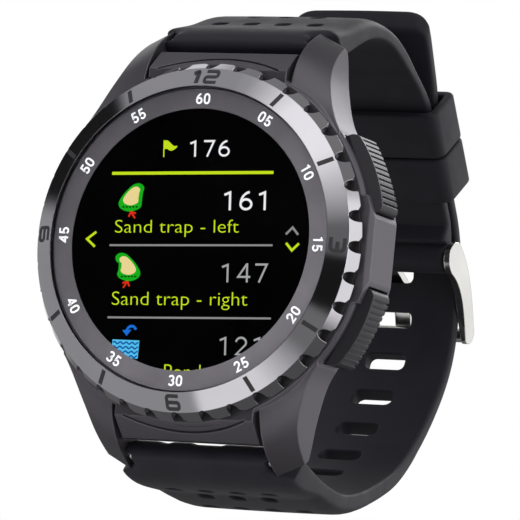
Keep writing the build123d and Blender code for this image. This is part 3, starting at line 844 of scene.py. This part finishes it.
# Light digits as strokes, in a cell 1 high
DIGIT_WIDTH = 0.6
DIGIT_STEP = 0.79
DIGITS = {
    "0": [arc(0.3, 0.66, 0.24, 0.28, 0, 180) + arc(0.3, 0.34, 0.24, 0.28, 180, 360) + [(0.54, 0.66)]],
    "1": [[(0.1, 0.8), (0.36, 0.92), (0.36, 0.0)]],
    "2": [arc(0.3, 0.68, 0.235, 0.26, 172, -28) + [(0.08, 0.055), (0.58, 0.055)]],
    "3": [arc(0.28, 0.72, 0.23, 0.22, 160, -90), arc(0.28, 0.275, 0.255, 0.225, 90, -162)],
    "4": [[(0.45, 0.0), (0.45, 1.0)], [(0.43, 0.95), (0.05, 0.29), (0.6, 0.29)]],
    "5": [[(0.54, 0.94), (0.15, 0.94), (0.11, 0.5)] + arc(0.3, 0.31, 0.25, 0.255, 138, -155)],
    "6": [arc(0.3, 0.31, 0.245, 0.255, 0, 360, 20), arc(0.52, 0.31, 0.465, 0.635, 98, 178, 8)],
    "7": [[(0.03, 0.94), (0.55, 0.94), (0.2, 0.0)]],
}

# Square-built digits for the bezel, in a unit cell
BLOCK_DIGITS = {
    "1": [((0.2, 0.75), (0.6, 1.0), (0.6, -0.1))],
    "2": [((0.0, 1.0), (1.0, 1.0), (1.0, 0.5), (0.0, 0.5), (0.0, 0.0), (1.0, 0.0))],
    "3": [((0.0, 1.0), (1.0, 1.0), (1.0, 0.0), (0.0, 0.0)), ((0.3, 0.5), (1.0, 0.5))],
    "6": [((1.0, 1.0), (0.0, 1.0), (0.0, 0.0), (1.0, 0.0), (1.0, 0.5), (0.0, 0.5))],
    "9": [((0.0, 0.0), (1.0, 0.0), (1.0, 1.0), (0.0, 1.0), (0.0, 0.5), (1.0, 0.5))],
}

# Digit, middle, turn in degrees, width of the stroke and how far its corners are rounded
BEZEL_NUMBERS = (
    ("1", (-1.25, ENGRAVE_R), 0, 0.6, 0.36),
    ("2", (0.95, ENGRAVE_R), 0, 0.46, 0.36),
    ("3", (ENGRAVE_R, 0), -90, 0.46, 0.55),
    ("6", (0, -ENGRAVE_R), 0, 0.46, 0.36),
    ("9", (-ENGRAVE_R, 0), 90, 0.46, 0.36),
)


def flat_place(node, gap, thickness):
    """A place function for flat marks that lie a gap in front of a CAD node."""
    base = -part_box(node)[0].y / MM + gap
    return lambda x, y, top: Vector((x, -(base + thickness * top), y)) * MM


def minute_numerals():
    """Numbers every five minutes on the printed ring, 60 at the top."""
    marks = Marks(flat_place("minute_ring", PRINT_GAP, PRINT_T))
    for hour in range(12):
        angle = hour * 30
        label = "60" if hour == 0 else f"{hour * 5:02d}"
        turn = 180 - angle if 90 < angle < 270 else -angle
        centre = round_dial(angle, NUMERAL_R)
        marks.digits(label, NUMERAL_SIZE, NUMERAL_WEIGHT, lambda points: turned(points, turn, centre))
    # The printed numerals get a painted glow: they shine by themselves at 0.4, though they are print
    paint = dict(grain=(6000, 0.001), mottle=(400, 0.03), lit=0.4)
    white = surface("numeral_white", linear("#f0f0f0"), 0.5, **paint)
    show("minute_numerals", marks.mesh(), white, "watch")


def bezel_engraving():
    """Hour bars and the four quarter numbers, filled dark."""
    tree = tree_of("bezel_ring")

    def place(x, y, top):
        hit = tree.ray_cast(Vector((x, -20, y)) * MM, Vector((0, 1, 0)))[0]
        return hit + Vector((0, ENGRAVE_SINK - ENGRAVE_T * top, 0)) * MM

    marks = Marks(place)
    for hour in (1, 2, 4, 5, 7, 8, 10, 11):
        marks.line([round_dial(hour * 30, radius) for radius in BAR_R], BAR_WIDTH)
    for digit, centre, turn, width, bend in BEZEL_NUMBERS:
        for points in BLOCK_DIGITS[digit]:
            cell = [((u - 0.5) * ENGRAVE_SIZE[0], (v - 0.5) * ENGRAVE_SIZE[1]) for u, v in points]
            marks.line(turned(eased(cell, bend), turn, centre), width)
    dark = surface("engraving_fill", linear("#2f2e31"), 0.6, 0.2, grain=(5000, 0.004), mottle=(500, 0.1))
    show("bezel_engraving", marks.mesh(), dark, "watch")


# ---------------------------------------------------------------- screen

# Outlines that a smooth curve runs through
BUNKER = (
    (0.35, 1.6), (1.35, 1.75), (1.95, 1.25), (1.8, 0.6), (1.25, 0.25), (1.35, -0.4), (1.65, -1.1),
    (1.2, -1.7), (-0.15, -2.05), (-1.4, -1.7), (-1.85, -1.0), (-1.5, -0.2), (-0.75, 0.7),
)
FLAG = (
    (-5.15, 13.1), (-4.7, 13.2), (-4.2, 12.85), (-3.7, 12.5), (-3.15, 12.5), (-3.6, 12.0), (-4.2, 11.85),
    (-4.7, 12.1), (-5.15, 12.1),
)
WATER_LOW, WATER_HIGH = (-10.0, -16.3), (-5.95, -13.85)
WAVE_STEPS = 25


def bunker_icon(ink, centre, mirror):
    """A green-edged sand bunker with a dotted front line and a red pointer; mirror is 1 or -1."""
    def put(points, scale=1.0, shift=(0, 0)):
        moved = [(mirror * (x * scale + shift[0]), y * scale + shift[1]) for x, y in points]
        return skewed(moved, centre)

    edge = smooth_loop(BUNKER)
    ink["green"].fill(put(edge))
    ink["sand"].fill(put(edge, 0.66, (0.05, 0.15)))
    for i in range(5):
        ink["ink"].line(put([(-1.25 + i * 0.5, -1.42), (-0.95 + i * 0.5, -1.42)]), 0.2)
    ink["red"].line(put([(0.7, -2.95), (0.15, -2.2)]), 0.26)
    ink["red"].line(put([(-0.25, -2.75), (0.05, -2.1), (0.8, -2.3)]), 0.26)


def water_icon(ink):
    """Pale water with dark waves."""
    (left, low), (right, high) = WATER_LOW, WATER_HIGH
    ink["water"].fill([(left, low), (right, low), (right, high), (left, high)])
    margin, crests = 0.1, 4.3
    for row in range(4):
        level = high - 0.42 - row * 0.6
        wave = []
        for i in range(WAVE_STEPS + 1):
            share = i / WAVE_STEPS
            x = left + margin + (right - left - 2 * margin) * share
            wave.append((x, level + 0.14 * sin(share * crests * tau)))
        ink["wave"].line(wave, 0.2)


def rule(marks, x0, x1, y, width):
    """A straight rule across the screen."""
    marks.line(skewed([((x0 - x1) / 2, 0), ((x1 - x0) / 2, 0)], ((x0 + x1) / 2, y)), width)


def screen_lines(ink):
    """Rules, chevrons, flag and turned arrow."""
    rule(ink["lime"], -12.6, 11.5, 8.93, 0.42)
    rule(ink["grey"], -11.9, 12.4, -0.8, 0.26)
    rule(ink["grey"], -11.1, 13.2, -10.54, 0.26)
    ink["lime"].fill(smooth_loop(FLAG, 4))
    ink["lime"].line([(-5.07, 10.95), (-5.25, 13.25)], 0.17)
    ink["lime"].line([(-14.1, 0.55), (-15.4, -0.45), (-14.1, -1.45)], 0.34)
    ink["lime"].line([(14.35, -0.05), (15.3, -1.0), (16.25, -0.05)], 0.34)
    ink["grey"].line([(14.2, 1.1), (15.1, 2.05), (16.0, 1.1)], 0.3)
    ink["blue"].line(arc(-7.3, -12.75, 0.72, 0.78, 25, 170), 0.36)
    ink["blue"].fill([(-8.7, -12.55), (-7.3, -12.45), (-7.95, -13.3)])


# Colour and layer of each ink
SCREEN_COLOURS = {
    "green": ("#17b01c", 0), "water": ("#59c6f2", 0), "sand": ("#f3dc96", 1), "red": ("#e03018", 1),
    "wave": ("#0b4f9e", 1), "ink": ("#0a1a08", 2), "lime": ("#c9e51f", 0), "grey": ("#8f8f8f", 0),
    "blue": ("#1b6fd6", 0), "white": ("#f4f4f4", 0), "dim": ("#a9a9a9", 0),
}

# Text, middle and size of each; the numbers add their colour and the weight of the stroke
SCREEN_NUMBERS = (
    ("176", (1.6, 12.3), (6.2, 2.23), "white", 0.125),
    ("161", (7.85, 5.43), (7.1, 2.6), "white", 0.125),
    ("147", (8.55, -4.24), (7.1, 2.55), "dim", 0.11),
    ("121", (9.2, -13.98), (6.9, 2.5), "dim", 0.11),
)
SCREEN_WORDS = (
    ("Sand trap - left", (-2.07, 1.4), (18.5, 2.3)),
    ("Sand trap - right", (-0.6, -8.3), (20.2, 2.4)),
    ("Pond", (0.9, -17.75), (5.4, 1.9)),
)


def screen():
    """Everything lit on the display, one piece per colour, just above the panel."""
    ink = {}
    for key, (_, layer) in SCREEN_COLOURS.items():
        ink[key] = Marks(flat_place("display_panel", SCREEN_GAP + layer * SCREEN_LAYER, SCREEN_LAYER))
    bunker_icon(ink, (-9.4, 5.5), 1)
    bunker_icon(ink, (-8.75, -3.9), -1)
    water_icon(ink)
    screen_lines(ink)
    for text, centre, size, colour, weight in SCREEN_NUMBERS:
        ink[colour].digits(text, size, weight, lambda points: skewed(points, centre))
    for text, centre, size in SCREEN_WORDS:
        ink["lime"].word(text, size, WORD_WEIGHT, lambda points: skewed(points, centre))
    for key, (code, _) in SCREEN_COLOURS.items():
        name = "screen_" + key
        show(name, ink[key].mesh(), pixels(name, code), "watch")


# ---------------------------------------------------------------- studio

def camera_axes():
    """Right, up and back directions of the camera."""
    a, e, roll = radians(VIEW_AZIMUTH), radians(VIEW_ELEVATION), radians(VIEW_ROLL)
    back = Vector((sin(a) * cos(e), -cos(a) * cos(e), sin(e)))
    level = Vector((cos(a), sin(a), 0))
    right = level * cos(roll) + back.cross(level) * sin(roll)
    return right, back.cross(right), back


def make_camera():
    """Camera at the viewing angle, looking at VIEW_TARGET."""
    right, up, back = camera_axes()
    data = bpy.data.cameras.new("camera")
    data.lens = LENS
    data.sensor_width = 36
    data.clip_start = 0.05
    data.clip_end = 20
    camera = bpy.data.objects.new("camera", data)
    basis = Matrix((right, up, back)).transposed()
    camera.matrix_world = Matrix.Translation(VIEW_TARGET + back * VIEW_DISTANCE) @ basis.to_4x4()
    bpy.context.scene.collection.objects.link(camera)
    bpy.context.scene.camera = camera


def area_light(name, place, size, power, mirrored=True):
    """A soft rectangular light aimed at the watch, which polished faces may be kept from mirroring."""
    data = bpy.data.lights.new(name, "AREA")
    data.shape = "RECTANGLE"
    data.size, data.size_y = size
    data.energy = power
    lamp = bpy.data.objects.new(name, data)
    lamp.location = place
    lamp.rotation_euler = (Vector((0, 0.01, 0)) - Vector(place)).to_track_quat("-Z", "Y").to_euler()
    lamp.visible_glossy = mirrored
    bpy.context.scene.collection.objects.link(lamp)


# Soft boxes, black flags and plain walls round the studio: where each starts and ends, in degrees clockwise
# from the top as the bezel mirrors them, and how bright it is.  Each fades into the next across the gap.
STUDIO_WALLS = (
    (0, 4, 0.5), (26, 50, 1.5), (82, 92, 0.2), (95, 115, 0.015), (118, 132, 0.25), (155, 182, 1.2),
    (186, 282, 0.45), (286, 313, 0.015), (317, 360, 0.45),
)

# Bright panels beside and behind the watch: direction, outer and inner reach in degrees, brightness
STUDIO_WINDOWS = (
    ((0.98, 0.13, 0.02), 36, 26, 1.1),
    ((0.47, 0.87, 0.05), 32, 18, 0.75),
    ((-0.56, 0.74, 0.37), 30, 18, 0.6),
)

# Where the dark middle and the walls end, in degrees from where the dial mirrors the camera
STUDIO_DARK = (22, 32)
STUDIO_EDGE = (70, 84)


def grey(value):
    """An even grey with alpha."""
    return (value, value, value, 1)


def fade(g, direction, way, outer, inner, value):
    """A round patch about a direction that fades from value at inner degrees to nothing at outer."""
    return g.remap(g.dot(way, direction), cos(radians(outer)), cos(radians(inner)), 0.0, value)


def wall_ramp(g, turn):
    """The brightness of the walls at a turn from 0 to 1."""
    ramp = g.add("ValToRGB", None, Fac=turn)
    stops = ramp.color_ramp.elements
    stops[0].position, stops[1].position = 0.0, 1.0
    stops[0].color, stops[1].color = grey(STUDIO_WALLS[0][2]), grey(STUDIO_WALLS[-1][2])
    for start, end, value in STUDIO_WALLS:
        for angle in (start, end):
            if 0 < angle < 360:
                stops.new(angle / 360).color = grey(value)
    return ramp.outputs[0]


def make_world():
    """White to the camera; to mirrors, a dark middle, a banded ring and a bright surround."""
    back = camera_axes()[2]
    middle = Vector((-back.x, back.y, -back.z))
    side = (RIGHT - middle * middle.x).normalized()
    top = middle.cross(side)
    if top.z < 0:
        top = -top
    world = bpy.data.worlds.new("studio")
    bpy.context.scene.world = world
    world.use_nodes = True
    g = Graph(world.node_tree)
    g.tree.nodes.clear()
    way = g.add("TexCoord").outputs["Generated"]
    turn = g.math("DIVIDE", g.math("ARCTAN2", g.dot(way, side), g.dot(way, top)), tau)
    turn = g.add("Math", {"operation": "WRAP"}, i0=turn, i1=1.0, i2=0.0).outputs[0]
    far = g.remap(g.dot(way, middle), cos(radians(STUDIO_EDGE[0])), cos(radians(STUDIO_EDGE[1])), 0, 1)
    height = g.add("SeparateXYZ", None, Vector=way).outputs[2]
    surround = g.remap(height, -0.8, 0.9, 0.12, 0.3)
    for direction, outer, inner, value in STUDIO_WINDOWS:
        patch = fade(g, Vector(direction).normalized(), way, outer, inner, value)
        surround = g.math("ADD", surround, patch)
    mirrored = g.mix(far, wall_ramp(g, turn), surround)
    mirrored = g.mix(fade(g, middle, way, STUDIO_DARK[1], STUDIO_DARK[0], 1), mirrored, grey(0.004))
    soft = g.remap(height, -0.9, 0.9, 0.45, 1.0)
    rays = g.add("LightPath").outputs
    colour = g.mix(rays["Is Glossy Ray"], soft, mirrored)
    colour = g.mix(rays["Is Camera Ray"], colour, grey(1))
    light = g.add("Background", None, Color=colour, Strength=1.0).outputs[0]
    g.join(light, g.add("OutputWorld"), "Surface")


def make_floor():
    """Plain pale floor, below the watch and below the camera."""
    level = (VIEW_TARGET + camera_axes()[2] * VIEW_DISTANCE).z - FLOOR_DROP
    corners = ((-1, -1), (1, -1), (1, 1), (-1, 1))
    mesh = bpy.data.meshes.new("floor")
    mesh.from_pydata([(x * FLOOR_REACH, y * FLOOR_REACH, level) for x, y in corners], [], [(0, 1, 2, 3)])
    plain = dict(grain=(300, 0.02), mottle=(3, 0.01), edge=(0.1, 1))
    mesh.materials.append(surface("floor", linear("#f2f1ef"), 0.7, **plain))
    floor = bpy.data.objects.new("floor", mesh)
    bpy.context.scene.collection.objects.link(floor)
    floor.visible_glossy = False


# ---------------------------------------------------------------- build

def dress_nodes(finishes):
    """Gives every CAD node the finish of its material slot."""
    for name, node in NODES.items():
        node.data.materials.clear()
        node.data.materials.append(finishes[SLOT_OF[name]])


finishes = make_finishes()
dress_nodes(finishes)
upper_strap(finishes["silicone"])
lower_strap(finishes["silicone"])
keeper("fixed_keeper", "watch", finishes["silicone"])
keeper("sliding_keeper", "sliding_keeper", finishes["silicone"])
springs(finishes["spring_steel"])
minute_numerals()
bezel_engraving()
screen()
make_camera()
make_world()
make_floor()
area_light("key", (-0.35, -0.3, 0.75), (0.5, 0.5), 2.6, mirrored=False)
area_light("right", (0.75, -0.25, 0.15), (0.35, 0.5), 0.9)
area_light("fill", (-0.4, -0.75, -0.08), (0.4, 0.3), 1.3, mirrored=False)
area_light("rim", (0.1, 0.7, 0.5), (0.5, 0.4), 2.0)
bpy.context.scene.view_settings.view_transform = "Standard"
